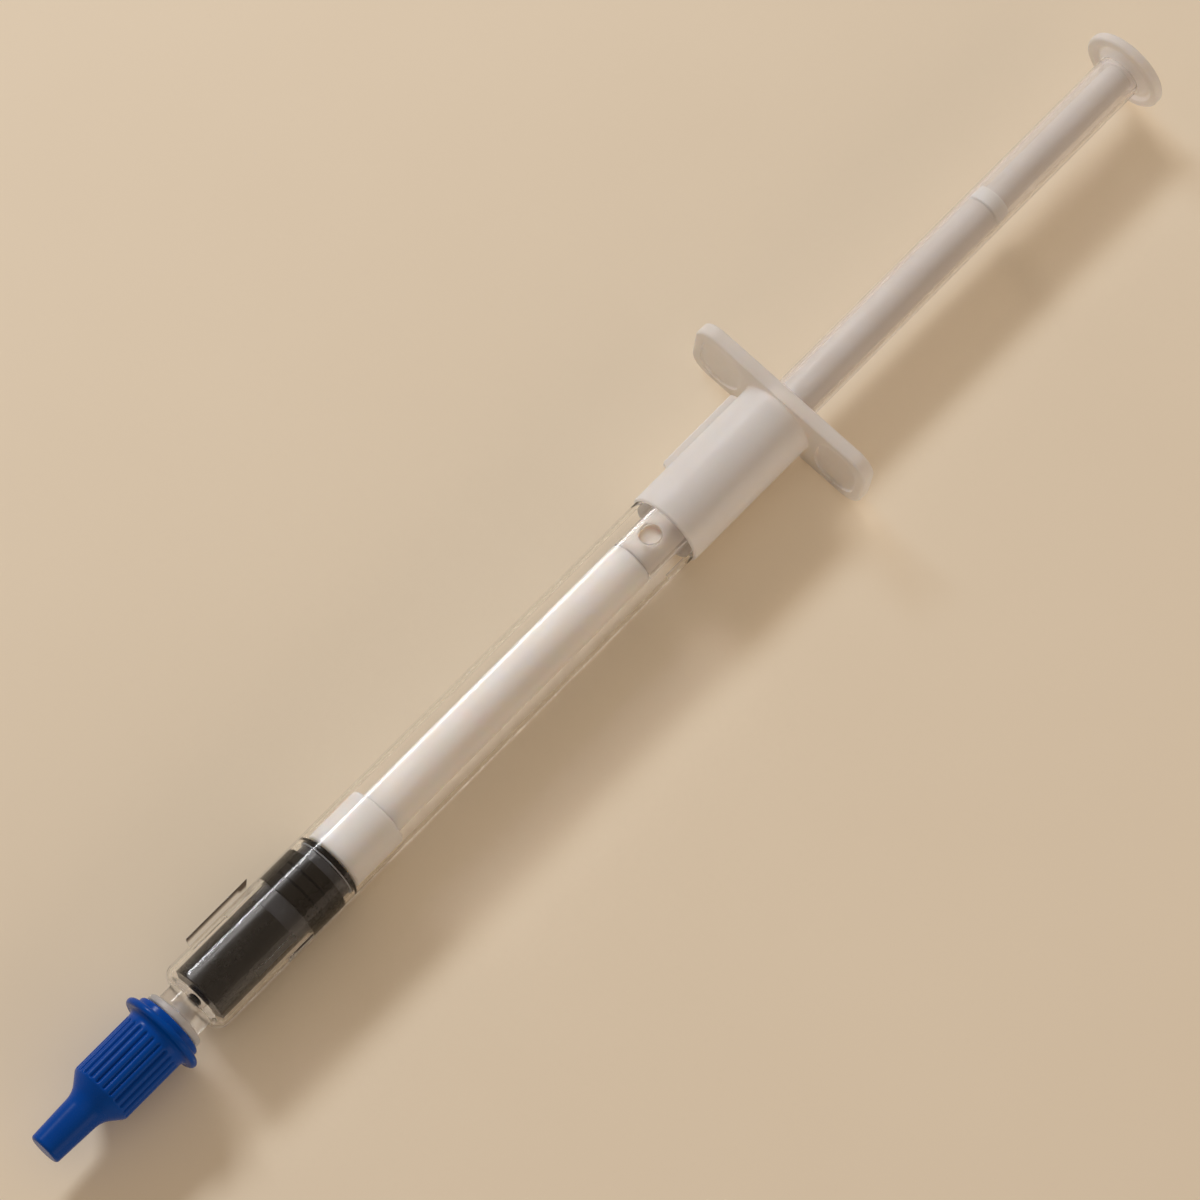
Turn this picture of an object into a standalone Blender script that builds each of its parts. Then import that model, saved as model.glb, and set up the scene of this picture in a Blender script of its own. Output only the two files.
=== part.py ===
# Thermal paste syringe: clear barrel, rubber stopper, two-piece plunger, finger grip and fluted cap
# Every piece is turned about one axis, from the cap's closed tip towards the thumb rest
import math

import bmesh
import bpy
from mathutils import Matrix

# Clearances, in metres like every size below
FIT_GAP = 0.0001
SEAT_GAP = 0.00015
WIPE_GAP = 0.00005
PASTE_GAP = 0.0003

# Nozzle and neck
NOZZLE_TIP_DIAMETER = 0.0039
NOZZLE_TAPER = 0.06
NOZZLE_LENGTH = 0.008
NOZZLE_BORE = 0.0026
NECK_DIAMETER = 0.006
NECK_LENGTH = 0.002
NECK_FILLET = 0.0004

# Barrel
BORE_DIAMETER = 0.008
BARREL_WALL = 0.0006
BARREL_LENGTH = 0.0959
FRONT_WALL = 0.00075
FRONT_CHAMFER = 0.0005
SHOULDER_RADIUS = 0.0011
SPIGOT_LENGTH = 0.0185
SPIGOT_STEP = 0.0002

# Anti-roll fin near the shoulder, low ribs beside it and a short rail before the grip
FIN_SETBACK = 0.0045
FIN_LENGTH = 0.0101
FIN_HEIGHT = 0.0009
FIN_THICKNESS = 0.0008
FIN_RAMP = 0.0004
FIN_UNDERCUT = 0.0014
LOW_RIB_HEIGHT = 0.0003
SIDE_RIB_ANGLE = 129.0
SIDE_RIB_SETBACK = 0.0091
SIDE_RIB_LENGTH = 0.0063
UPPER_RIB_ANGLE = 229.0
UPPER_RIB_SETBACK = 0.0067
UPPER_RIB_LENGTH = 0.0066
LOWER_RIB_ANGLE = 259.0
LOWER_RIB_SETBACK = 0.0107
LOWER_RIB_LENGTH = 0.0045
RAIL_ANGLE = 251.0
RAIL_SETBACK = 0.0012
RAIL_LENGTH = 0.0032
RAIL_HEIGHT = 0.0004

# Cap
CAP_TIP_DIAMETER = 0.00403
CAP_TIP_ROOT_DIAMETER = 0.00458
CAP_TIP_LENGTH = 0.00672
CAP_TIP_ROUNDING = 0.00035
CAP_FLARE_LENGTH = 0.00206
CAP_FLARE_FILLET = 0.003
CAP_WALL = 0.00086
CAP_GRIP_LENGTH = 0.00826
CAP_FLUTES = 24
CAP_FLUTE_DEPTH = 0.00034
CAP_FLUTE_RUNOUT = 0.0003
CAP_BAND_LENGTH = 0.00085
CAP_BEAD_DIAMETER = 0.0106
CAP_BEAD_WIDTH = 0.00095
CAP_BEAD_FILLET = 0.0008
CAP_SKIRT_DIAMETER = 0.0086
CAP_SKIRT_LENGTH = 0.00087

# Liner that seals the cap on the nozzle
LINER_WALL = 0.0007
LINER_END_WALL = 0.001
LINER_PIN_SETBACK = 0.0007
LINER_FLANGE_DIAMETER = 0.0076
LINER_FLANGE_WIDTH = 0.0009

# Paste and stopper
DOSE_LENGTH = 0.01215
PASTE_NIB_LENGTH = 0.0005
STOPPER_NOSE_LENGTH = 0.0027
STOPPER_RIBS = 3
STOPPER_RIB_WIDTH = 0.00135
STOPPER_GROOVE_WIDTH = 0.00045
STOPPER_GROOVE_DEPTH = 0.00035
STOPPER_WAIST_LENGTH = 0.001
WIPER_WIDTH = 0.0007

# Piston head and the stud that carries the stopper
HEAD_LENGTH = 0.0076
HEAD_ROUNDING = 0.0003
STUD_DIAMETER = 0.003
STUD_LENGTH = 0.0044

# Plunger
PLUNGER_DIAMETER = 0.0057
FRONT_ROD_LENGTH = 0.0416
FRONT_ROD_ROUNDING = 0.0007
TENON_LENGTH = 0.0016
TUBE_WALL = 0.0005
TUBE_LENGTH = 0.0857
CROSS_HOLE_DIAMETER = 0.0026
CROSS_HOLE_SETBACK = 0.0033
CROSS_HOLE_TILT = 10.0
CORE_DIAMETER = 0.0032
CORE_LENGTH = 0.077
RING_SETBACK = 0.0229
RING_WIDTH = 0.0019

# Thumb rest
DISC_DIAMETER = 0.0109
DISC_THICKNESS = 0.0013
DISC_RIM_WIDTH = 0.0009
DISC_DISH_DEPTH = 0.0003
DISC_ROUNDING = 0.0003
HUB_WALL = 0.0003
HUB_LENGTH = 0.0016
HUB_FLARE = 0.0008
PLUG_LENGTH = 0.0045

# Finger grip
COLLAR_WALL = 0.0004
COLLAR_LENGTH = 0.0193
COLLAR_MOUTH = 0.0002
FLANGE_WIDTH = 0.0265
FLANGE_HEIGHT = 0.0109
FLANGE_THICKNESS = 0.0018
FLANGE_CORNER_RADIUS = 0.0027
POCKET_MARGIN = 0.0012
POCKET_DEPTH = 0.00035
KEY_SETBACK = 0.00554
KEY_LENGTH = 0.0123
KEY_HEIGHT = 0.0008
KEY_THICKNESS = 0.0011
KEY_RAMP = 0.0004

# Facets, and how deep a rib's root is let into the wall that carries it
OUTER_FACETS = 40
INNER_FACETS = 32
FACETS_PER_FLUTE = 4
ARC_STEPS = 3
RIB_ROOT = 0.00025
SMOOTH_ANGLE = 32.0
WELD_DISTANCE = 1e-7

# Radii that follow from the sizes above
bore_radius = BORE_DIAMETER / 2
barrel_radius = bore_radius + BARREL_WALL
spigot_radius = barrel_radius - SPIGOT_STEP
collar_bore = spigot_radius + FIT_GAP
collar_radius = max(collar_bore + COLLAR_WALL, barrel_radius)
nozzle_tip_radius = NOZZLE_TIP_DIAMETER / 2
nozzle_root_radius = nozzle_tip_radius + NOZZLE_TAPER * NOZZLE_LENGTH / 2
liner_radius = nozzle_root_radius + FIT_GAP + LINER_WALL
cap_bore = liner_radius + FIT_GAP
cap_radius = cap_bore + CAP_WALL
plunger_radius = PLUNGER_DIAMETER / 2
tube_bore = plunger_radius - TUBE_WALL
tenon_radius = tube_bore - FIT_GAP
core_radius = CORE_DIAMETER / 2
stud_radius = STUD_DIAMETER / 2
disc_radius = DISC_DIAMETER / 2
axis_height = max(DISC_DIAMETER, FLANGE_HEIGHT, CAP_BEAD_DIAMETER) / 2

# Stations along the axis, from the cap's tip
flare_start = CAP_TIP_LENGTH
grip_start = flare_start + CAP_FLARE_LENGTH
grip_end = grip_start + CAP_GRIP_LENGTH
bead_start = grip_end + CAP_BAND_LENGTH
skirt_start = bead_start + CAP_BEAD_WIDTH
cap_rear = skirt_start + CAP_SKIRT_LENGTH
liner_flange = cap_rear + SEAT_GAP
neck_front = liner_flange + LINER_FLANGE_WIDTH + SEAT_GAP
nozzle_tip = neck_front - NOZZLE_LENGTH
liner_front = nozzle_tip - SEAT_GAP - LINER_END_WALL
shoulder = neck_front + NECK_LENGTH
bore_front = shoulder + FRONT_WALL
barrel_rear = shoulder + BARREL_LENGTH
spigot_front = barrel_rear - SPIGOT_LENGTH
stopper_front = bore_front + DOSE_LENGTH
rib_front = stopper_front + STOPPER_NOSE_LENGTH
rib_pitch = STOPPER_RIB_WIDTH + STOPPER_GROOVE_WIDTH
waist_front = rib_front + STOPPER_RIBS * rib_pitch - STOPPER_GROOVE_WIDTH
stopper_rear = waist_front + STOPPER_WAIST_LENGTH
wiper_front = stopper_rear + SEAT_GAP
head_front = wiper_front + WIPER_WIDTH + SEAT_GAP
head_rear = head_front + HEAD_LENGTH
rod_front = head_rear + SEAT_GAP
rod_rear = rod_front + FRONT_ROD_LENGTH
tube_front = rod_rear + SEAT_GAP
tube_rear = tube_front + TUBE_LENGTH
core_rear = tube_rear - SEAT_GAP
core_front = core_rear - CORE_LENGTH
disc_front = tube_rear + SEAT_GAP
disc_rear = disc_front + DISC_THICKNESS
collar_front = spigot_front + SEAT_GAP
flange_front = collar_front + COLLAR_LENGTH
flange_rear = flange_front + FLANGE_THICKNESS
guide_front = barrel_rear + SEAT_GAP


def clear_scene():
    for item in list(bpy.data.objects):
        bpy.data.objects.remove(item, do_unlink=True)


def add_axis(name, parent=None):
    axis = bpy.data.objects.new(name, None)
    bpy.context.scene.collection.objects.link(axis)
    axis.parent = parent
    return axis


def finish(name, colour, roughness, opacity):
    surface = bpy.data.materials.new(name + "_finish")
    surface.use_nodes = True
    shader = surface.node_tree.nodes["Principled BSDF"]
    shader.inputs["Base Color"].default_value = (*colour, 1.0)
    shader.inputs["Roughness"].default_value = roughness
    shader.inputs["Metallic"].default_value = 0.0
    shader.inputs["Alpha"].default_value = opacity
    return surface


def add_piece(name, body, axis, station):
    bmesh.ops.recalc_face_normals(body, faces=body.faces)
    mesh = bpy.data.meshes.new(name)
    body.to_mesh(mesh)
    body.free()
    mesh.shade_smooth()
    mesh.set_sharp_from_angle(angle=math.radians(SMOOTH_ANGLE))
    piece = bpy.data.objects.new(name, mesh)
    bpy.context.scene.collection.objects.link(piece)
    piece.parent = axis
    piece.location = (0.0, 0.0, station)
    return piece


def paint(piece, colour, roughness, opacity=1.0):
    piece.data.materials.append(finish(piece.name, colour, roughness, opacity))


def combine(piece, helper, operation):
    modifier = piece.modifiers.new(helper.name, "BOOLEAN")
    modifier.operation = operation
    modifier.solver = "EXACT"
    modifier.object = helper
    helper.hide_render = True
    helper.display_type = "WIRE"


def arc(radius, station, size, start, end, steps=ARC_STEPS):
    # Points round a centre at (radius, station), with angles from outward towards the rear
    turns = [math.radians(start + (end - start) * step / steps) for step in range(steps + 1)]
    return [(radius + size * math.cos(turn), station + size * math.sin(turn)) for turn in turns]


def spun(outline, facets):
    # A solid of revolution: an outline that starts off the axis is a closed ring
    body = bmesh.new()
    points = [body.verts.new((radius, 0.0, station)) for radius, station in outline]
    edges = [body.edges.new(pair) for pair in zip(points, points[1:])]
    if outline[0][0] > 0.0:
        edges.append(body.edges.new((points[-1], points[0])))
    bmesh.ops.spin(
        body,
        geom=points + edges,
        cent=(0.0, 0.0, 0.0),
        axis=(0.0, 0.0, 1.0),
        angle=math.tau,
        steps=facets,
        use_merge=True,
    )
    bmesh.ops.remove_doubles(body, verts=body.verts, dist=WELD_DISTANCE)
    return body


def turned(name, axis, station, outline, facets=OUTER_FACETS):
    local = [(radius, place - station) for radius, place in outline]
    return add_piece(name, spun(local, facets), axis, station)


def slab(name, axis, station, outline, thickness):
    # A plate square to the axis, from an outline of (down, across) points
    body = bmesh.new()
    face = body.faces.new([body.verts.new((down, across, 0.0)) for down, across in outline])
    swept = bmesh.ops.extrude_face_region(body, geom=[face])["geom"]
    corners = [item for item in swept if isinstance(item, bmesh.types.BMVert)]
    bmesh.ops.translate(body, verts=corners, vec=(0.0, 0.0, thickness))
    return add_piece(name, body, axis, station)


def rib(name, axis, station, wall_radius, size, angle):
    # A lengthwise rib of (length, height, thickness, front ramp, rear ramp), rooted in a round wall
    length, height, thickness, front, rear = size
    root = wall_radius - RIB_ROOT
    crest = wall_radius + height
    outline = [(root, 0.0), (crest, front), (crest, length - rear), (root, length)]
    body = bmesh.new()
    corners = [body.verts.new((radius, -thickness / 2, place)) for radius, place in outline]
    swept = bmesh.ops.extrude_face_region(body, geom=[body.faces.new(corners)])["geom"]
    moved = [item for item in swept if isinstance(item, bmesh.types.BMVert)]
    bmesh.ops.translate(body, verts=moved, vec=(0.0, thickness, 0.0))
    bmesh.ops.rotate(body, verts=body.verts, matrix=Matrix.Rotation(math.radians(angle), 3, "Z"))
    return add_piece(name, body, axis, station)


def rounded_outline(height, width, radius, across=0.0):
    corners = [(1, 1, 0), (-1, 1, 90), (-1, -1, 180), (1, -1, 270)]
    outline = []
    for down_side, across_side, start in corners:
        down = down_side * (height / 2 - radius)
        side = across + across_side * (width / 2 - radius)
        outline += arc(down, side, radius, start, start + 90, 2 * ARC_STEPS)
    return outline


def cut_flutes(body):
    # Broad round ridges with narrow grooves between them, from two dipping rings of the grip
    first = grip_start + CAP_FLUTE_RUNOUT / 2
    last = grip_end - CAP_FLUTE_RUNOUT / 2
    for point in body.verts:
        if first < point.co.z < last:
            turn = math.atan2(point.co.y, point.co.x)
            dip = CAP_FLUTE_DEPTH * (1.0 - abs(math.cos(CAP_FLUTES * turn / 2)))
            shrink = 1.0 - dip / point.co.xy.length
            point.co.x *= shrink
            point.co.y *= shrink


def build_tip_cap(axis):
    tip = CAP_TIP_DIAMETER / 2
    root = CAP_TIP_ROOT_DIAMETER / 2
    bead = CAP_BEAD_DIAMETER / 2
    skirt = CAP_SKIRT_DIAMETER / 2
    half_bead = CAP_BEAD_WIDTH / 2
    slope = math.atan2(cap_radius - root, CAP_FLARE_LENGTH)
    flare_blend = flare_start - CAP_FLARE_FILLET * math.tan(slope / 2)
    fillet = min(CAP_BEAD_FILLET, CAP_BAND_LENGTH, bead - half_bead - cap_radius)
    outline = [(0.0, 0.0)]
    outline += arc(tip - CAP_TIP_ROUNDING, CAP_TIP_ROUNDING, CAP_TIP_ROUNDING, -90, 0)
    flare_end = 180 - math.degrees(slope)
    outline += arc(root + CAP_FLARE_FILLET, flare_blend, CAP_FLARE_FILLET, 180, flare_end, 2 * ARC_STEPS)
    outline += [(cap_radius, grip_start), (cap_radius, grip_start + CAP_FLUTE_RUNOUT)]
    outline += [(cap_radius, grip_end - CAP_FLUTE_RUNOUT), (cap_radius, grip_end)]
    outline += arc(cap_radius + fillet, bead_start - fillet, fillet, 180, 90)
    outline += arc(bead - half_bead, bead_start + half_bead, half_bead, -90, 90, 2 * ARC_STEPS)
    outline += [(skirt, skirt_start), (skirt, cap_rear), (0.0, cap_rear)]
    body = spun(outline, CAP_FLUTES * FACETS_PER_FLUTE)
    cut_flutes(body)
    cap = add_piece("tip_cap", body, axis, 0.0)
    paint(cap, (0.01, 0.07, 0.42), 0.32)
    bore_front_end = liner_front - SEAT_GAP
    bore_outline = [
        (0.0, bore_front_end),
        (cap_bore, bore_front_end),
        (cap_bore, cap_rear + LINER_FLANGE_WIDTH),
        (0.0, cap_rear + LINER_FLANGE_WIDTH),
    ]
    combine(cap, turned("cap_bore_cutter", axis, bore_front_end, bore_outline), "DIFFERENCE")


def build_cap_liner(axis):
    # A blind sleeve over the nozzle, with a pin down its bore and a flange outside the cap's mouth
    flange = LINER_FLANGE_DIAMETER / 2
    liner_rear = liner_flange + LINER_FLANGE_WIDTH
    pocket_end = nozzle_tip - SEAT_GAP
    pin = NOZZLE_BORE / 2 - FIT_GAP
    pin_end = shoulder - LINER_PIN_SETBACK
    overhang = nozzle_tip - pocket_end
    tip_bore = nozzle_tip_radius + FIT_GAP - NOZZLE_TAPER * overhang / 2
    root_bore = nozzle_root_radius + FIT_GAP
    outline = [
        (0.0, liner_front),
        (liner_radius, liner_front),
        (liner_radius, liner_flange),
        (flange, liner_flange),
        (flange, liner_rear),
        (root_bore, liner_rear),
        (tip_bore, pocket_end),
        (pin, pocket_end),
        (pin, pin_end),
        (0.0, pin_end),
    ]
    liner = turned("cap_liner", axis, liner_front, outline, INNER_FACETS)
    paint(liner, (0.75, 0.74, 0.72), 0.4, 0.85)


def build_barrel(axis):
    neck = NECK_DIAMETER / 2
    ledge = barrel_radius - neck
    fillet = min(NECK_FILLET, 0.25 * ledge)
    round_over = min(SHOULDER_RADIUS, 0.7 * ledge)
    outlet = NOZZLE_BORE / 2
    outline = [(nozzle_tip_radius, nozzle_tip), (nozzle_root_radius, neck_front), (neck, neck_front)]
    outline += arc(neck + fillet, shoulder - fillet, fillet, 180, 90)
    outline += arc(barrel_radius - round_over, shoulder + round_over, round_over, -90, 0, 2 * ARC_STEPS)
    outline += [(barrel_radius, spigot_front), (spigot_radius, spigot_front), (spigot_radius, barrel_rear)]
    outline += [(bore_radius, barrel_rear), (bore_radius, bore_front + FRONT_CHAMFER)]
    outline += [(bore_radius - FRONT_CHAMFER, bore_front), (outlet, bore_front), (outlet, nozzle_tip)]
    barrel = turned("barrel", axis, nozzle_tip, outline)
    paint(barrel, (0.92, 0.93, 0.93), 0.05, 0.25)
    fin_size = (FIN_LENGTH - FIN_UNDERCUT, FIN_HEIGHT, FIN_THICKNESS, FIN_RAMP, -FIN_UNDERCUT)
    fin = rib("anti_roll_fin", axis, shoulder + FIN_SETBACK, barrel_radius, fin_size, 90)
    combine(barrel, fin, "UNION")
    low_ribs = (
        ("side_rib", SIDE_RIB_ANGLE, SIDE_RIB_SETBACK, SIDE_RIB_LENGTH),
        ("upper_rib", UPPER_RIB_ANGLE, UPPER_RIB_SETBACK, UPPER_RIB_LENGTH),
        ("lower_rib", LOWER_RIB_ANGLE, LOWER_RIB_SETBACK, LOWER_RIB_LENGTH),
    )
    for name, angle, setback, length in low_ribs:
        rib_size = (length, LOW_RIB_HEIGHT, FIN_THICKNESS, LOW_RIB_HEIGHT, LOW_RIB_HEIGHT)
        low_rib = rib(name, axis, shoulder + setback, barrel_radius, rib_size, angle)
        combine(barrel, low_rib, "UNION")
    rail_size = (RAIL_LENGTH, RAIL_HEIGHT, FIN_THICKNESS, RAIL_HEIGHT, RAIL_HEIGHT)
    rail_front = spigot_front - RAIL_SETBACK - RAIL_LENGTH
    rail = rib("grip_rail", axis, rail_front, barrel_radius, rail_size, RAIL_ANGLE)
    combine(barrel, rail, "UNION")


def build_thermal_paste(axis):
    column = bore_radius - PASTE_GAP
    nib = max(NOZZLE_BORE / 2 - PASTE_GAP, WIPE_GAP)
    front = bore_front + FRONT_CHAMFER + WIPE_GAP
    rear = stopper_front - PASTE_GAP
    tip = bore_front - PASTE_NIB_LENGTH
    outline = [(0.0, tip), (nib, tip), (nib, front), (column, front), (column, rear), (0.0, rear)]
    paste = turned("thermal_paste", axis, tip, outline, INNER_FACETS)
    paint(paste, (0.05, 0.05, 0.05), 0.35)


def build_stopper(axis):
    wiping = bore_radius - WIPE_GAP
    waist = wiping - STOPPER_GROOVE_DEPTH
    nose = bore_radius - PASTE_GAP
    socket = stud_radius + FIT_GAP
    socket_end = head_front - STUD_LENGTH - SEAT_GAP
    outline = [(0.0, stopper_front), (nose, stopper_front), (nose, rib_front)]
    for number in range(STOPPER_RIBS):
        start = rib_front + number * rib_pitch
        stop = start + STOPPER_RIB_WIDTH
        outline += [(wiping, start), (wiping, stop), (waist, stop)]
        if number < STOPPER_RIBS - 1:
            outline.append((waist, stop + STOPPER_GROOVE_WIDTH))
    outline += [(waist, stopper_rear), (socket, stopper_rear), (socket, socket_end), (0.0, socket_end)]
    stopper = turned("stopper", axis, stopper_front, outline, INNER_FACETS)
    paint(stopper, (0.03, 0.028, 0.027), 0.3)


def build_wiper_ring(axis):
    wiping = bore_radius - WIPE_GAP
    hole = stud_radius + FIT_GAP
    rear = wiper_front + WIPER_WIDTH
    outline = [(hole, wiper_front), (wiping, wiper_front), (wiping, rear), (hole, rear)]
    ring = turned("wiper_ring", axis, wiper_front, outline, INNER_FACETS)
    paint(ring, (0.015, 0.015, 0.015), 0.45)


def build_piston_head(axis):
    head = bore_radius - FIT_GAP
    stud_end = head_front - STUD_LENGTH
    socket = stud_radius + FIT_GAP
    socket_end = head_rear - STUD_LENGTH - SEAT_GAP
    outline = [(0.0, stud_end), (stud_radius, stud_end), (stud_radius, head_front)]
    outline += arc(head - HEAD_ROUNDING, head_front + HEAD_ROUNDING, HEAD_ROUNDING, -90, 0)
    outline += arc(head - HEAD_ROUNDING, head_rear - HEAD_ROUNDING, HEAD_ROUNDING, 0, 90)
    outline += [(socket, head_rear), (socket, socket_end), (0.0, socket_end)]
    head_piece = turned("piston_head", axis, stud_end, outline, INNER_FACETS)
    paint(head_piece, (0.9, 0.9, 0.89), 0.35)


def build_front_rod(axis):
    # Opaque rod with a tenon in the piston head and another in the tube, socketed where the core reaches it
    front_end = head_rear - STUD_LENGTH
    rear_end = tube_front + TENON_LENGTH
    centre = plunger_radius - FRONT_ROD_ROUNDING
    outline = [(0.0, front_end), (stud_radius, front_end), (stud_radius, rod_front)]
    outline.append((plunger_radius, rod_front))
    outline += arc(centre, rod_rear - FRONT_ROD_ROUNDING, FRONT_ROD_ROUNDING, 0, 90)
    shank = min(tenon_radius, centre)
    core_socket = core_radius + FIT_GAP
    socket_end = min(core_front - SEAT_GAP, rear_end)
    outline += [(shank, rod_rear), (shank, rear_end), (core_socket, rear_end)]
    outline += [(core_socket, socket_end), (0.0, socket_end)]
    rod = turned("front_rod", axis, front_end, outline, INNER_FACETS)
    paint(rod, (0.9, 0.9, 0.89), 0.35)


def build_plunger_tube(axis):
    outline = [
        (plunger_radius, tube_front),
        (plunger_radius, tube_rear),
        (tube_bore, tube_rear),
        (tube_bore, tube_front),
    ]
    tube = turned("plunger_tube", axis, tube_front, outline, INNER_FACETS)
    paint(tube, (0.8, 0.79, 0.78), 0.25, 0.5)
    body = bmesh.new()
    hole = CROSS_HOLE_DIAMETER / 2
    bmesh.ops.create_cone(
        body,
        cap_ends=True,
        segments=INNER_FACETS,
        radius1=hole,
        radius2=hole,
        depth=2 * PLUNGER_DIAMETER,
        matrix=Matrix.Rotation(math.radians(90.0), 4, "Y"),
    )
    tilt = Matrix.Rotation(math.radians(-CROSS_HOLE_TILT), 3, "Z")
    bmesh.ops.rotate(body, verts=body.verts, matrix=tilt)
    cutter = add_piece("cross_hole_cutter", body, axis, tube_front + CROSS_HOLE_SETBACK)
    combine(tube, cutter, "DIFFERENCE")


def build_core_rod(axis):
    outline = [(0.0, core_front), (core_radius, core_front), (core_radius, core_rear), (0.0, core_rear)]
    core = turned("core_rod", axis, core_front, outline, INNER_FACETS)
    paint(core, (0.7, 0.69, 0.68), 0.4, 0.9)


def build_centring_ring(axis):
    front = tube_rear - RING_SETBACK - RING_WIDTH
    rear = front + RING_WIDTH
    hole = core_radius + FIT_GAP
    outline = [(hole, front), (tenon_radius, front), (tenon_radius, rear), (hole, rear)]
    ring = turned("centring_ring", axis, front, outline, INNER_FACETS)
    paint(ring, (0.85, 0.85, 0.84), 0.35)


def build_thumb_rest(axis):
    # Disc with a dished front, a hub round the tube's end, and a hollow plug between tube and core
    socket = core_radius + FIT_GAP
    plug_end = tube_rear - PLUG_LENGTH
    hub_bore = plunger_radius + FIT_GAP
    hub = hub_bore + HUB_WALL
    hub_front = disc_front - HUB_LENGTH
    dish = disc_front + DISC_DISH_DEPTH
    rim = disc_radius - DISC_RIM_WIDTH
    edge = disc_radius - DISC_ROUNDING
    outline = [(socket, plug_end), (tenon_radius, plug_end), (tenon_radius, disc_front)]
    outline += [(hub_bore, disc_front), (hub_bore, hub_front), (hub, hub_front)]
    outline += arc(hub + HUB_FLARE, dish - HUB_FLARE, HUB_FLARE, 180, 90)
    outline += [(rim - DISC_DISH_DEPTH, dish), (rim, disc_front)]
    outline += arc(edge, disc_front + DISC_ROUNDING, DISC_ROUNDING, -90, 0)
    outline += arc(edge, disc_rear - DISC_ROUNDING, DISC_ROUNDING, 0, 90)
    outline += [(0.0, disc_rear), (0.0, disc_front), (socket, disc_front)]
    thumb = turned("thumb_rest", axis, plug_end, outline[-2:] + outline[:-2])
    paint(thumb, (0.82, 0.82, 0.81), 0.3)


def build_finger_grip(axis):
    corner = min(FLANGE_CORNER_RADIUS, 0.48 * FLANGE_HEIGHT)
    inside_flange = flange_front + FLANGE_THICKNESS / 2
    mouth = collar_radius - COLLAR_MOUTH
    outline = [(0.0, collar_front), (mouth, collar_front), (collar_radius, collar_front + COLLAR_MOUTH)]
    outline += [(collar_radius, inside_flange), (0.0, inside_flange)]
    grip = turned("finger_grip", axis, collar_front, outline)
    paint(grip, (0.8, 0.79, 0.78), 0.35)
    flange_outline = rounded_outline(FLANGE_HEIGHT, FLANGE_WIDTH, corner)
    combine(grip, slab("flange_plate", axis, flange_front, flange_outline, FLANGE_THICKNESS), "UNION")
    key_size = (KEY_LENGTH, KEY_HEIGHT, KEY_THICKNESS, KEY_RAMP, KEY_RAMP)
    key = rib("collar_key", axis, collar_front + KEY_SETBACK, collar_radius, key_size, 90)
    combine(grip, key, "UNION")
    pocket_near = collar_radius + POCKET_MARGIN
    pocket_far = FLANGE_WIDTH / 2 - POCKET_MARGIN
    pocket_height = FLANGE_HEIGHT - 2 * POCKET_MARGIN
    pocket_width = pocket_far - pocket_near
    pocket_corner = 0.45 * min(pocket_height, pocket_width)
    for side, label in ((1, "left"), (-1, "right")):
        middle = side * (pocket_near + pocket_far) / 2
        pocket = rounded_outline(pocket_height, pocket_width, pocket_corner, middle)
        station = flange_front - POCKET_DEPTH
        cutter = slab(label + "_pocket_cutter", axis, station, pocket, 2 * POCKET_DEPTH)
        combine(grip, cutter, "DIFFERENCE")
    guide = plunger_radius + FIT_GAP
    bore_outline = [
        (0.0, collar_front - COLLAR_WALL),
        (collar_bore, collar_front - COLLAR_WALL),
        (collar_bore, guide_front),
        (guide, guide_front),
        (guide, flange_rear + FLANGE_THICKNESS),
        (0.0, flange_rear + FLANGE_THICKNESS),
    ]
    combine(grip, turned("grip_bore_cutter", axis, collar_front, bore_outline), "DIFFERENCE")


def main():
    clear_scene()
    syringe_axis = add_axis("syringe_axis")
    syringe_axis.location = (-disc_rear / 2, 0.0, axis_height)
    syringe_axis.rotation_euler = (0.0, math.radians(90.0), 0.0)
    cap_axis = add_axis("cap_axis", syringe_axis)
    stopper_axis = add_axis("stopper_axis", syringe_axis)
    plunger_axis = add_axis("plunger_axis", stopper_axis)
    build_barrel(syringe_axis)
    build_thermal_paste(syringe_axis)
    build_finger_grip(syringe_axis)
    build_tip_cap(cap_axis)
    build_cap_liner(cap_axis)
    build_stopper(stopper_axis)
    build_wiper_ring(stopper_axis)
    build_piston_head(plunger_axis)
    build_front_rod(plunger_axis)
    build_plunger_tube(plunger_axis)
    build_core_rod(plunger_axis)
    build_centring_ring(plunger_axis)
    build_thumb_rest(plunger_axis)


main()
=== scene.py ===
import math

import bmesh
import bpy
from mathutils import Matrix, Vector


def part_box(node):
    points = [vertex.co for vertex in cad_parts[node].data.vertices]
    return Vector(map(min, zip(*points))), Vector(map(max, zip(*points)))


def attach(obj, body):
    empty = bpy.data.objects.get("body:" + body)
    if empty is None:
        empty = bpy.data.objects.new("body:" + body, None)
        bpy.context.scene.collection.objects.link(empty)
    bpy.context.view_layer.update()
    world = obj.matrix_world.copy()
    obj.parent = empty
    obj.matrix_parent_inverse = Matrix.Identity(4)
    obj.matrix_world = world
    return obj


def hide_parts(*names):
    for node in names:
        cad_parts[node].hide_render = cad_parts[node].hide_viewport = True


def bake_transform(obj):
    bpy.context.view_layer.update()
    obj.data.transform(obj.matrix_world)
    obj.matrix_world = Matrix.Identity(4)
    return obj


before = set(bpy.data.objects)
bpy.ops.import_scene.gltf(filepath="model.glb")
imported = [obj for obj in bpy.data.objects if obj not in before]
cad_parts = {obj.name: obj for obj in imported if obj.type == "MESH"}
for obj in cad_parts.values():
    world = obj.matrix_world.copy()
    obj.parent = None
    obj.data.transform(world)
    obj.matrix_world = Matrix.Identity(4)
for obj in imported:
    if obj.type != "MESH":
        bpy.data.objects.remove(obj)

scene = bpy.context.scene
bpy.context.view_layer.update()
mm = 0.001
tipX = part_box("tip_cap")[0].x  # station 0 is the cap's closed tip
axisZ = sum(corner.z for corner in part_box("plunger_tube")) / 2  # every turned piece shares this axis
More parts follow.
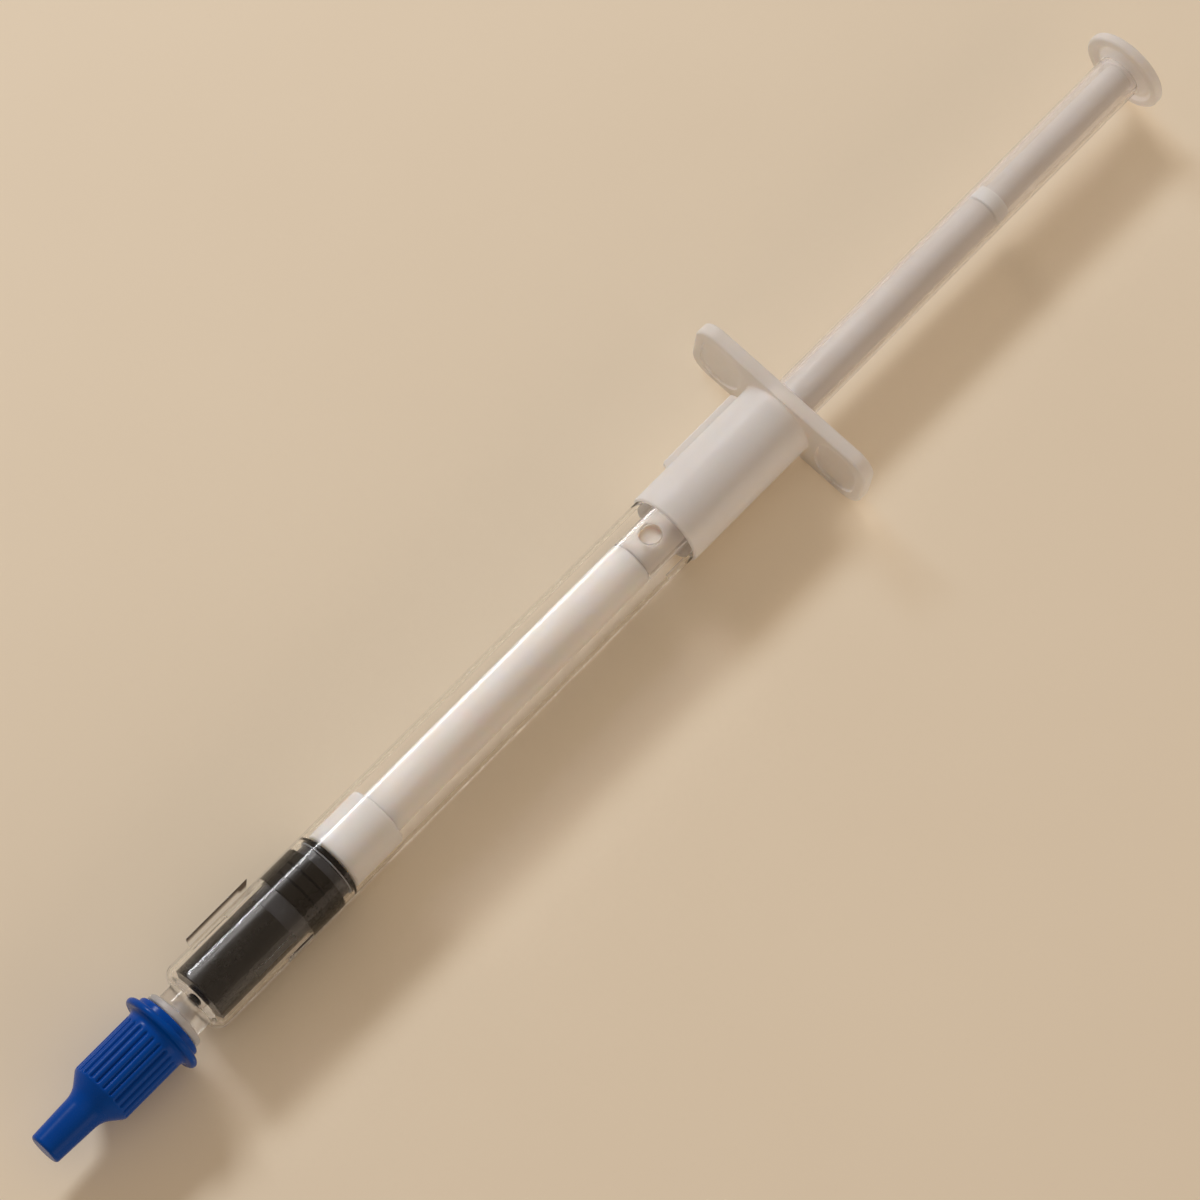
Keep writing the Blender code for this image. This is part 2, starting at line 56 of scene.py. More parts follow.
creaseAngle = math.radians(36)  # a sharper edge isn't shaded smooth
print("frame loaded:", len(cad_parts), "nodes")


def atStation(station):
    return tipX + station * mm


def softOutline(corners, closed=False, steps=7):
    # (station, radius, rounding) corners in mm become a line with round corners
    mostReach = 0.49  # share of a side that one corner may use
    flat = [Vector(corner[:2]) for corner in corners]
    line = []
    for index, corner in enumerate(corners):
        here = flat[index]
        atEnd = not closed and index in (0, len(flat) - 1)
        if len(corner) < 3 or atEnd:
            line.append(here)
            continue
        back = flat[index - 1] - here
        ahead = flat[(index + 1) % len(flat)] - here
        half = back.angle(ahead) / 2
        reach = min(corner[2] / math.tan(half), mostReach * back.length, mostReach * ahead.length)
        radius = reach * math.tan(half)
        inward = (back.normalized() + ahead.normalized()).normalized()
        middle = here + inward * radius / math.sin(half)
        first = here + back.normalized() * reach - middle
        last = here + ahead.normalized() * reach - middle
        start = math.atan2(first.y, first.x)
        sweep = math.remainder(math.atan2(last.y, last.x) - start, math.tau)
        turns = [start + sweep * step / steps for step in range(steps + 1)]
        line += [middle + radius * Vector((math.cos(turn), math.sin(turn))) for turn in turns]
    return line


def guarded(line, closed):
    # a long straight run gets a point close to each end, which keeps its shading flat
    longRun, inset = 0.5, 0.05
    result = []
    for near, far in zip(line, line[1:] + line[:1]):
        result.append(near)
        run = far - near
        if run.length > longRun:
            step = run * (inset / run.length)
            result += [near + step, far - step]
    return result if closed else result[: result.index(line[-1]) + 1]


def shadeSmooth(mesh):
    mesh.shade_smooth()
    mesh.set_sharp_from_angle(angle=creaseAngle)


def addPiece(name, body):
    weldGap = 2e-8
    bmesh.ops.remove_doubles(body, verts=body.verts, dist=weldGap)
    bmesh.ops.recalc_face_normals(body, faces=body.faces)
    mesh = bpy.data.meshes.new(name)
    body.to_mesh(mesh)
    body.free()
    shadeSmooth(mesh)
    piece = bpy.data.objects.new(name, mesh)
    scene.collection.objects.link(piece)
    return piece


def turnedPiece(name, line, closed=False, facets=144):
    # the line is turned about the axis, and a point on the axis becomes a pole
    poleRadius = 1e-5
    body = bmesh.new()
    rings = []
    turns = [math.tau * step / facets for step in range(facets)]
    for station, radius in guarded(line, closed):
        x = atStation(station)
        size = radius * mm
        if radius < poleRadius:
            spots = [(x, 0.0, axisZ)]
        else:
            spots = [(x, size * math.sin(turn), axisZ + size * math.cos(turn)) for turn in turns]
        rings.append([body.verts.new(spot) for spot in spots])
    pairs = list(zip(rings, rings[1:]))
    if closed:
        pairs.append((rings[-1], rings[0]))
    for near, far in pairs:
        for step in range(facets):
            after = (step + 1) % facets
            corners = [near[step % len(near)], near[after % len(near)],
                       far[after % len(far)], far[step % len(far)]]
            body.faces.new(list(dict.fromkeys(corners)))
    return addPiece(name, body)


def sweepFace(body, face, way):
    swept = bmesh.ops.extrude_face_region(body, geom=[face])["geom"]
    moved = [item for item in swept if isinstance(item, bmesh.types.BMVert)]
    bmesh.ops.translate(body, verts=moved, vec=way)


def placeOnAxis(body, angle=0.0, station=0.0):
    # from mm about the axis to the frame's metres; angle 0 is up and 90 is the +Y side
    turn = Matrix.Rotation(math.radians(-angle), 3, "X")
    bmesh.ops.rotate(body, verts=body.verts, matrix=turn)
    bmesh.ops.scale(body, verts=body.verts, vec=(mm, mm, mm))
    bmesh.ops.translate(body, verts=body.verts, vec=(atStation(station), 0.0, axisZ))


def ribPiece(name, start, wall, size, angle):
    # a lengthwise rib with soft edges on a round wall; a ramp below 0 undercuts its heel
    body = bmesh.new()
    root = wall - size["root"]
    crest = wall + size["height"]
    front, rear = size["ramps"]
    end = start + size["length"]
    outline = [(start, root), (start + front, crest),
               (end - max(rear, 0.0), crest), (end + min(rear, 0.0), root)]
    half = size["thickness"] / 2
    side = [body.verts.new((station, -half, radius)) for station, radius in outline]
    sweepFace(body, body.faces.new(side), (0.0, size["thickness"], 0.0))
    softened = [edge for edge in body.edges if all(vert.co.z > wall for vert in edge.verts)]
    bmesh.ops.bevel(body, geom=softened, offset=size["soft"], segments=3, profile=0.5, affect="EDGES")
    placeOnAxis(body, angle)
    return addPiece(name, body)


def platePiece(name, start, thickness, outline, soft):
    # a plate square to the axis from (across, up) points in mm, with its rims eased
    flatness = 1e-6
    body = bmesh.new()
    face = body.faces.new([body.verts.new((start, across, up)) for across, up in outline])
    sweepFace(body, face, (thickness, 0.0, 0.0))
    rims = [edge for edge in body.edges if abs(edge.verts[0].co.x - edge.verts[1].co.x) < flatness]
    bmesh.ops.bevel(body, geom=rims, offset=soft, segments=4, profile=0.5, affect="EDGES")
    placeOnAxis(body)
    return addPiece(name, body)


def roundedBox(width, height, corner, across=0.0):
    steps = 14
    line = []
    for sideAcross, sideUp, start in ((1, 1, 0), (-1, 1, 90), (-1, -1, 180), (1, -1, 270)):
        for step in range(steps + 1):
            turn = math.radians(start + 90 * step / steps)
            reach = across + sideAcross * (width / 2 - corner) + corner * math.cos(turn)
            line.append((reach, sideUp * (height / 2 - corner) + corner * math.sin(turn)))
    return line


def bakeMesh(piece):
    graph = bpy.context.evaluated_depsgraph_get()
    baked = bpy.data.meshes.new_from_object(piece.evaluated_get(graph))
    worn = piece.data
    piece.modifiers.clear()
    piece.data = baked
    bpy.data.meshes.remove(worn)
    baked.name = piece.name


def carve(piece, operation, helpers):
    for helper in helpers:
        modifier = piece.modifiers.new(helper.name, "BOOLEAN")
        modifier.operation = operation
        modifier.solver = "EXACT"
        modifier.object = helper
    bakeMesh(piece)
    for helper in helpers:
        bpy.data.objects.remove(helper, do_unlink=True)
    # slivers that the cut leaves are closed up
    sliver = 1e-6
    body = bmesh.new()
    body.from_mesh(piece.data)
    bmesh.ops.remove_doubles(body, verts=body.verts, dist=sliver)
    bmesh.ops.dissolve_degenerate(body, edges=body.edges, dist=sliver)
    body.to_mesh(piece.data)
    body.free()
    shadeSmooth(piece.data)


def fit(piece, body, node, finish):
    piece.data.materials.clear()
    piece.data.materials.append(finish)
    if body:
        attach(piece, body)
    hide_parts(node)
    print("fitted", piece.name, "for", node, "-", len(piece.data.polygons), "faces")


def addNode(tree, kind, inputs=None, **settings):
    node = tree.nodes.new(kind)
    for name, value in settings.items():
        setattr(node, name, value)
    for socket, value in (inputs or {}).items():
        if isinstance(value, bpy.types.NodeSocket):
            tree.links.new(value, node.inputs[socket])
        else:
            node.inputs[socket].default_value = value
    return node


def math2(tree, operation, first, second=0.0):
    return addNode(tree, "ShaderNodeMath", {0: first, 1: second}, operation=operation).outputs[0]


def mapRange(tree, value, low, high, start=0.0, end=1.0, way="LINEAR"):
    inputs = {0: value, 1: low, 2: high, 3: start, 4: end}
    return addNode(tree, "ShaderNodeMapRange", inputs, interpolation_type=way).outputs[0]


def softStep(tree, value, low, high, start=0.0, end=1.0):
    return mapRange(tree, value, low, high, start, end, "SMOOTHSTEP")


def mixColour(tree, share, first, second):
    # the colour sockets of a Mix node are 6 and 7, and its colour comes out at 2
    inputs = {0: share, 6: first, 7: second}
    return addNode(tree, "ShaderNodeMix", inputs, data_type="RGBA").outputs[2]


def objectPlace(tree):
    return tree.nodes.new("ShaderNodeTexCoord").outputs["Object"]


def noiseSpots(tree, place, scale, detail, rough):
    inputs = {"Vector": place, "Scale": scale, "Detail": detail, "Roughness": rough}
    return addNode(tree, "ShaderNodeTexNoise", inputs).outputs["Fac"]


def newGroup(name, sockets):
    group = bpy.data.node_groups.new(name, "ShaderNodeTree")
    for title, way, kind, value in sockets:
        socket = group.interface.new_socket(title, in_out=way, socket_type="NodeSocket" + kind)
        if value is not None:
            socket.default_value = value
    return group, group.nodes.new("NodeGroupInput").outputs, group.nodes.new("NodeGroupOutput").inputs


# slow colour clouds, a patchy gloss and the faint skin of a moulding
hazeLook = {
    "stretch": (0.35, 1.0, 1.0), "cloudSpread": (0.32, 0.68), "skinShare": 0.5, "patchSpread": (0.2, 0.8)}


def mouldedHazeGroup(look):
    group, given, result = newGroup("mouldedHaze", [
        ("Pale", "INPUT", "Color", (0.8, 0.8, 0.8, 1.0)),
        ("Deep", "INPUT", "Color", (0.7, 0.7, 0.7, 1.0)),
        ("Cloud Scale", "INPUT", "Float", 180.0),
        ("Skin Scale", "INPUT", "Float", 2600.0),
        ("Least Roughness", "INPUT", "Float", 0.3),
        ("Most Roughness", "INPUT", "Float", 0.45),
        ("Colour", "OUTPUT", "Color", None),
        ("Roughness", "OUTPUT", "Float", None),
        ("Height", "OUTPUT", "Float", None),
    ])
    place = objectPlace(group)
    stretched = addNode(group, "ShaderNodeMapping", {
        "Vector": place, "Scale": look["stretch"]}).outputs[0]
    clouds = noiseSpots(group, stretched, given["Cloud Scale"], detail=4.0, rough=0.55)
    skin = noiseSpots(group, place, given["Skin Scale"], detail=2.0, rough=0.6)
    spread = mapRange(group, clouds, *look["cloudSpread"])
    patch = math2(group, "MULTIPLY", skin, look["skinShare"])
    patch = math2(group, "ADD", patch, math2(group, "MULTIPLY", spread, 1.0 - look["skinShare"]))
    limits = given["Least Roughness"], given["Most Roughness"]
    rough = mapRange(group, patch, *look["patchSpread"], *limits)
    group.links.new(mixColour(group, spread, given["Pale"], given["Deep"]), result["Colour"])
    group.links.new(rough, result["Roughness"])
    group.links.new(skin, result["Height"])
    return group


# fine scuffs, mostly along the axis, as a mask
marksLook = {"stretch": (0.06, 1.0, 1.0), "lean": (0.0, 0.03, 0.05), "cut": (0.62, 0.74)}


def handlingMarksGroup(look):
    group, given, result = newGroup("handlingMarks", [
        ("Scale", "INPUT", "Float", 900.0),
        ("Amount", "INPUT", "Float", 0.5),
        ("Mask", "OUTPUT", "Float", None),
    ])
    drawn = addNode(group, "ShaderNodeMapping", {
        "Vector": objectPlace(group), "Scale": look["stretch"], "Rotation": look["lean"]}).outputs[0]
    scuffs = noiseSpots(group, drawn, given["Scale"], detail=3.0, rough=0.7)
    cut = mapRange(group, scuffs, *look["cut"])
    group.links.new(math2(group, "MULTIPLY", cut, given["Amount"]), result["Mask"])
    return group


mouldedHaze = mouldedHazeGroup(hazeLook)
handlingMarks = handlingMarksGroup(marksLook)


def newFinish(name):
    finish = bpy.data.materials.new(name)
    finish.use_nodes = True
    return finish, finish.node_tree, finish.node_tree.nodes["Principled BSDF"]


def placeHaze(tree, look):
    least, most = look["gloss"]
    inputs = {
        "Pale": (*look["pale"], 1.0), "Deep": (*look["deep"], 1.0),
        "Cloud Scale": look["clouds"], "Skin Scale": look["skin"],
        "Least Roughness": least, "Most Roughness": most}
    return addNode(tree, "ShaderNodeGroup", inputs, node_tree=mouldedHaze).outputs


def placeMarks(tree, look):
    inputs = {"Scale": look["marks"], "Amount": look["scuff"]}
    return addNode(tree, "ShaderNodeGroup", inputs, node_tree=handlingMarks).outputs["Mask"]


def letLampsThrough(tree, shader, tint):
    # lamps reach what is inside, so it isn't dark behind a clear wall
    passing = addNode(tree, "ShaderNodeBsdfTransparent", {0: (*tint, 1.0)})
    rays = tree.nodes.new("ShaderNodeLightPath")
    mix = addNode(tree, "ShaderNodeMixShader", {
        0: rays.outputs["Is Shadow Ray"], 1: shader.outputs[0], 2: passing.outputs[0]})
    tree.links.new(mix.outputs[0], tree.nodes["Material Output"].inputs["Surface"])


def axisPlace(tree):
    # a point's place along the axis and its distance from it
    split = addNode(tree, "ShaderNodeSeparateXYZ", {0: objectPlace(tree)}).outputs
    up = math2(tree, "SUBTRACT", split["Z"], axisZ)
    spoke = addNode(tree, "ShaderNodeCombineXYZ", {1: split["Y"], 2: up}).outputs[0]
    reach = addNode(tree, "ShaderNodeVectorMath", {0: spoke}, operation="LENGTH").outputs["Value"]
    return split["X"], reach


# clear along the bore, hazy in the thick neck, with a painted dark reflection along the fin's crest; its
# gloss is the clear coat's weight
barrelLook = {
    "pale": (1.0, 1.0, 1.0), "deep": (0.985, 0.98, 0.975), "gloss": (0.2, 0.34), "clouds": 140.0,
    "skin": 900.0, "marks": 1100.0, "scuff": 0.1, "coatRoughness": 0.06, "ior": 1.1,
    "lamps": (0.69, 0.68, 0.67), "neck": (0.88, 0.86, 0.85), "neckSpan": (22.6, 23.4), "neckHaze": 0.42,
    "ribSpan": (4.63, 4.69), "ribHaze": 0.4,
    "crest": (0.16, 0.13, 0.11), "crestSpan": (5.1, 5.35), "heelSpan": (35.7, 36.0), "heelDrop": 0.25}


def barrelFinish(look):
    finish, tree, shader = newFinish("clearPlastic")
    haze = placeHaze(tree, look)
    along, reach = axisPlace(tree)
    neck = softStep(tree, along, *(atStation(stop) for stop in look["neckSpan"]), 1.0, 0.0)
    colour = mixColour(tree, neck, haze["Colour"], (*look["neck"], 1.0))
    # painted dark reflection along the fin's crest, darker still over its undercut heel
    heelFront, heelRear = (atStation(stop) for stop in look["heelSpan"])
    heel = softStep(tree, along, heelFront, heelRear, 0.0, look["heelDrop"] * mm)
    crest = softStep(tree, math2(tree, "ADD", reach, heel), *(stop * mm for stop in look["crestSpan"]))
    colour = mixColour(tree, crest, colour, (*look["crest"], 1.0))
    frosted = softStep(tree, reach, *(stop * mm for stop in look["ribSpan"]), 0.0, look["ribHaze"])
    frosted = math2(tree, "ADD", frosted, math2(tree, "MULTIPLY", neck, look["neckHaze"]))
    patchyGloss = math2(tree, "SUBTRACT", haze["Roughness"], placeMarks(tree, look))
    tree.links.new(colour, shader.inputs["Base Color"])
    tree.links.new(frosted, shader.inputs["Roughness"])
    tree.links.new(patchyGloss, shader.inputs["Coat Weight"])
    shader.inputs["Coat Roughness"].default_value = look["coatRoughness"]
    shader.inputs["IOR"].default_value = look["ior"]
    shader.inputs["Transmission Weight"].default_value = 1.0
    letLampsThrough(tree, shader, look["lamps"])
    return finish


usualLook = {
    "clouds": 180.0, "skin": 2600.0, "marks": 900.0, "scuff": 0.12, "relief": 0.05,
    "reliefDepth": 0.00004, "ior": 1.49, "sheen": 0.5, "clear": 0.0, "depthColour": (1.0, 0.85, 0.7)}


def mouldedFinish(name, ownLook):
    # clouded colour and gloss with scuffs on top, and the plain values on the shader itself
    look = {**usualLook, **ownLook}
    finish, tree, shader = newFinish(name)
    haze = placeHaze(tree, look)
    rough = math2(tree, "ADD", haze["Roughness"], placeMarks(tree, look))
    bump = addNode(tree, "ShaderNodeBump", {
        "Height": haze["Height"], "Strength": look["relief"], "Distance": look["reliefDepth"]})
    tree.links.new(haze["Colour"], shader.inputs["Base Color"])
    tree.links.new(rough, shader.inputs["Roughness"])
    tree.links.new(bump.outputs[0], shader.inputs["Normal"])
    shader.inputs["IOR"].default_value = look["ior"]
    shader.inputs["Specular IOR Level"].default_value = look["sheen"]
    shader.inputs["Transmission Weight"].default_value = look["clear"]
    if "depth" in look:
        shader.inputs["Subsurface Weight"].default_value = look["depth"]
        shader.inputs["Subsurface Radius"].default_value = look["depthColour"]
        shader.inputs["Subsurface Scale"].default_value = look["depthScale"]
    if "lamps" in look:
        letLampsThrough(tree, shader, look["lamps"])
    return finish


clearPlastic = barrelFinish(barrelLook)
milkyPlastic = mouldedFinish("milkyPlastic", {
    "pale": (0.885, 0.863, 0.847), "deep": (0.858, 0.83, 0.81), "gloss": (0.34, 0.46), "clear": 0.32,
    "ior": 1.25, "sheen": 0.4, "depth": 0.68, "depthScale": 0.0024, "scuff": 0.1,
    "lamps": (0.84, 0.81, 0.78)})
hazyPlastic = mouldedFinish("hazyPlastic", {
    "pale": (0.59, 0.572, 0.56), "deep": (0.54, 0.52, 0.507), "gloss": (0.4, 0.5), "sheen": 0.3,
    "depth": 1.0, "depthScale": 0.0012, "scuff": 0.06, "lamps": (0.5, 0.47, 0.44)})
frostedPlastic = mouldedFinish("frostedPlastic", {
    "pale": (0.955, 0.94, 0.93), "deep": (0.93, 0.91, 0.895), "gloss": (0.095, 0.14), "clear": 0.77,
    "ior": 1.09, "scuff": 0.03, "relief": 0.0, "lamps": (0.78, 0.76, 0.74)})
whitePlastic = mouldedFinish("whitePlastic", {
    "pale": (0.875, 0.87, 0.86), "deep": (0.845, 0.835, 0.82), "gloss": (0.36, 0.48), "sheen": 0.3,
    "depth": 1.0, "depthScale": 0.0028, "scuff": 0.08})
linerPlastic = mouldedFinish("linerPlastic", {
    "pale": (0.76, 0.755, 0.755), "deep": (0.71, 0.7, 0.695), "gloss": (0.3, 0.42), "clear": 0.6,
    "ior": 1.3, "depth": 0.5, "depthScale": 0.001, "sheen": 0.35, "lamps": (0.6, 0.58, 0.56)})
bluePlastic = mouldedFinish("bluePlastic", {
    "pale": (0.0005, 0.069, 0.395), "deep": (0.0005, 0.056, 0.33), "gloss": (0.2, 0.28), "skin": 3400.0,
    "relief": 0.08, "scuff": 0.1, "sheen": 0.1})
blackRubber = mouldedFinish("blackRubber", {
    "pale": (0.018, 0.0152, 0.012), "deep": (0.012, 0.01, 0.008), "gloss": (0.22, 0.32),
    "relief": 0.02, "scuff": 0.03, "sheen": 0.25})
wiperRubber = mouldedFinish("wiperRubber", {
    "pale": (0.006, 0.0052, 0.0045), "deep": (0.0035, 0.003, 0.0025), "gloss": (0.24, 0.32),
    "relief": 0.02, "scuff": 0.03, "sheen": 0.25})
charcoalPaste = mouldedFinish("charcoalPaste", {  # the scuffs are smears along the bore
    "pale": (0.0105, 0.01, 0.0095), "deep": (0.005, 0.0047, 0.0043), "gloss": (0.2, 0.33),
    "clouds": 420.0, "skin": 5200.0, "marks": 1300.0, "scuff": 0.16, "relief": 0.1,
    "reliefDepth": 0.00005, "ior": 1.5})


def tintWithin(finish, colour, soft, radius=None, station=None):
    # another colour for what lies within a radius in mm, nearer the tip than a station, or both
    tree = finish.node_tree
    shader = tree.nodes["Principled BSDF"]
    worn = shader.inputs["Base Color"].links[0].from_socket
    along, reach = axisPlace(tree)
    masks = []
    if radius:
        masks.append(softStep(tree, reach, (radius - soft) * mm, radius * mm, 1.0, 0.0))
    if station:
        masks.append(softStep(tree, along, atStation(station - soft), atStation(station), 1.0, 0.0))
    inner = math2(tree, "MULTIPLY", *masks) if len(masks) > 1 else masks[0]
    tree.links.new(mixColour(tree, inner, worn, (*colour, 1.0)), shader.inputs["Base Color"])


tintWithin(blackRubber, (0.002, 0.0017, 0.0014), 0.002, radius=4.005)  # painted shade in the shallow grooves between the ribs
tintWithin(blackRubber, (0.05, 0.052, 0.058), 0.1, radius=3.8)  # painted reflection: a lighter slate grey where it stands clear of the bore
tintWithin(hazyPlastic, (0.92, 0.905, 0.89), 0.6, station=101.9)  # the core's front plug is whiter, partly its own tone and partly painted light against the collar's shade
tintWithin(hazyPlastic, (0.87, 0.81, 0.76), 0.03, radius=2.25, station=101.0)  # painted shade, tan, in the cross hole
print("finishes ready:", len(bpy.data.materials))

capSizes = {
    "tip": 2.015, "tipRound": 0.42, "flareRoot": (6.72, 2.29), "flareRound": 3.0, "flareTop": 8.78,
    "flareCorner": 0.75, "ridge": 3.95, "groove": 3.6, "flutes": 24, "grooveShape": 1.7,
    "grooveStart": (8.72, 9.1), "grooveEnd": (16.5, 16.95), "fillet": 0.85, "bead": (17.89, 18.84, 5.3),
    "beadRound": 0.47, "skirt": (19.71, 4.3), "skirtFillet": 0.14, "skirtRound": 0.3, "mouthRound": 0.12,
    "bore": (11.61, 3.09), "facets": 288}


def fluteTree():
    # every point that stands proud of the groove's radius dips towards it between the ridges
    tree = bpy.data.node_groups.new("capFlutes", "GeometryNodeTree")
    sizes = ("Flutes", "Groove Radius", "Groove Shape", "Axis Height",
             "Start Front", "Start Rear", "End Front", "End Rear")
    tree.interface.new_socket("Geometry", in_out="INPUT", socket_type="NodeSocketGeometry")
    for title in sizes:
        tree.interface.new_socket(title, in_out="INPUT", socket_type="NodeSocketFloat")
    tree.interface.new_socket("Finish", in_out="INPUT", socket_type="NodeSocketMaterial")
    tree.interface.new_socket("Geometry", in_out="OUTPUT", socket_type="NodeSocketGeometry")
    given = tree.nodes.new("NodeGroupInput").outputs
    place = tree.nodes.new("GeometryNodeInputPosition").outputs[0]
    split = addNode(tree, "ShaderNodeSeparateXYZ", {0: place}).outputs
    up = math2(tree, "SUBTRACT", split["Z"], given["Axis Height"])
    turn = math2(tree, "ARCTAN2", split["Y"], up)
    # half the angle, because each half wave of the cosine is one ridge
    phase = math2(tree, "MULTIPLY", math2(tree, "MULTIPLY", turn, given["Flutes"]), 0.5)
    dip = math2(tree, "SUBTRACT", 1.0, math2(tree, "ABSOLUTE", math2(tree, "COSINE", phase)))
    dip = math2(tree, "POWER", dip, given["Groove Shape"])
    spoke = addNode(tree, "ShaderNodeCombineXYZ", {1: split["Y"], 2: up}).outputs[0]
    reach = addNode(tree, "ShaderNodeVectorMath", {0: spoke}, operation="LENGTH").outputs["Value"]
    proud = math2(tree, "MAXIMUM", math2(tree, "SUBTRACT", reach, given["Groove Radius"]), 0.0)
    fadeIn = softStep(tree, split["X"], given["Start Front"], given["Start Rear"])
    fadeOut = softStep(tree, split["X"], given["End Front"], given["End Rear"], 1.0, 0.0)
    fade = math2(tree, "MULTIPLY", fadeIn, fadeOut)
    drop = math2(tree, "MULTIPLY", math2(tree, "MULTIPLY", proud, dip), fade)
    outward = addNode(tree, "ShaderNodeVectorMath", {0: spoke}, operation="NORMALIZE").outputs[0]
    offset = addNode(tree, "ShaderNodeVectorMath", {
        0: outward, "Scale": math2(tree, "MULTIPLY", drop, -1.0)}, operation="SCALE").outputs[0]
    moved = addNode(tree, "GeometryNodeSetPosition", {
        "Geometry": given["Geometry"], "Offset": offset}).outputs[0]
    solid = addNode(tree, "GeometryNodeRealizeInstances", {0: moved}).outputs[0]
    painted = addNode(tree, "GeometryNodeSetMaterial", {
        "Geometry": solid, "Material": given["Finish"]}).outputs[0]
    tree.links.new(painted, tree.nodes.new("NodeGroupOutput").inputs[0])
    return tree


def makeTipCap(size):
    beadFront, beadRear, bead = size["bead"]
    rear, skirt = size["skirt"]
    boreFront, bore = size["bore"]
    grip = softOutline([
        (0.0, 0.0), (0.0, size["tip"], size["tipRound"]), (*size["flareRoot"], size["flareRound"]),
        (size["flareTop"], size["ridge"], size["flareCorner"]),
        (beadFront, size["ridge"], size["fillet"]),
        (beadFront, bead, size["beadRound"]), (beadRear, bead, size["beadRound"]),
        (beadRear, skirt, size["skirtFillet"]), (rear, skirt, size["skirtRound"]),
        (rear, bore, size["mouthRound"]), (boreFront, bore), (boreFront, 0.0)], steps=12)
    # closer rings where the grooves run out at both ends of the grip
    longRun = 4.0
    frontStops = [0.006 * step for step in range(1, 8)]
    rearStops = [0.94 + 0.008 * step for step in range(7)]
    stops = frontStops + [0.08, 0.5, 0.92] + rearStops
    runOut = []
    for near, far in zip(grip, grip[1:]):
        runOut.append(near)
        if far.x - near.x > longRun:
            runOut += [near.lerp(far, stop) for stop in stops]
    runOut.append(grip[-1])
    cap = turnedPiece("fluted_cap", runOut, facets=size["facets"])
    tree = fluteTree()
    modifier = cap.modifiers.new("flutes", "NODES")
    modifier.node_group = tree
    inputs = {"Flutes": float(size["flutes"]), "Groove Radius": size["groove"] * mm,
              "Groove Shape": size["grooveShape"], "Axis Height": axisZ, "Finish": bluePlastic}
    for end in ("Start", "End"):
        inputs[end + " Front"], inputs[end + " Rear"] = (atStation(stop) for stop in size["groove" + end])
    for socket in tree.interface.items_tree:
        if socket.in_out == "INPUT" and socket.name in inputs:
            modifier[socket.identifier] = inputs[socket.name]
    bakeMesh(cap)
    fit(cap, "cap", "tip_cap", bluePlastic)


makeTipCap(capSizes)

linerSizes = {
    "front": 11.76, "sleeve": 2.99, "sleeveRound": 0.2, "flange": (19.86, 20.76, 3.8),
    "flangeRounds": (0.24, 0.3), "root": 2.29, "rootRound": 0.08, "pocket": (12.76, 2.045),
    "pin": (22.21, 1.304), "pinRound": 0.35}


def makeLiner(size):
    flangeFront, flangeRear, flange = size["flange"]
    frontRound, rearRound = size["flangeRounds"]
    pocket, pocketBore = size["pocket"]
    pinEnd, pin = size["pin"]
    front, sleeve = size["front"], size["sleeve"]
    line = softOutline([
        (front, 0.0), (front, sleeve, size["sleeveRound"]), (flangeFront, sleeve),
        (flangeFront, flange, frontRound), (flangeRear, flange, rearRound),
        (flangeRear, size["root"], size["rootRound"]), (pocket, pocketBore), (pocket, pin),
        (pinEnd, pin, size["pinRound"]), (pinEnd, 0.0)])
    fit(turnedPiece("liner_sleeve", line), "liner", "cap_liner", linerPlastic)


makeLiner(linerSizes)

barrelSizes = {
    "nozzle": (12.91, 1.95, 20.91, 2.19), "tipRound": 0.15, "rootFillet": 0.1, "outlet": 1.3,
    "outletRounds": (0.12, 0.1), "neck": 3.0, "neckRound": 0.25, "neckFillet": 0.08, "shoulder": 22.91,
    "shoulderRound": 1.5, "outside": 4.6, "spigot": (100.4, 4.4), "spigotRound": 0.08, "rear": 118.81,
    "rearRound": 0.06, "bore": 4.0, "frontWall": 23.66, "frontChamfer": 0.5, "chamferRound": 0.3,
    "facets": 160,
    "fin": {"start": 27.41, "length": 10.1, "height": 0.9, "thickness": 0.8, "ramps": (0.4, -1.4),
            "root": 0.25, "soft": 0.12},
    "finAngle": 90.0,
    "lowRibs": ((51.0, 32.01, 6.3), (-49.0, 29.61, 6.6), (-79.0, 33.61, 4.5)),
    "lowRib": {"height": 0.2, "thickness": 0.9, "ramps": (0.4, 0.4), "root": 0.2, "soft": 0.18},
    "rail": {"start": 95.91, "length": 3.2, "height": 0.26, "thickness": 0.9, "ramps": (0.4, 0.4),
             "root": 0.2, "soft": 0.22},
    "railAngle": -71.0}


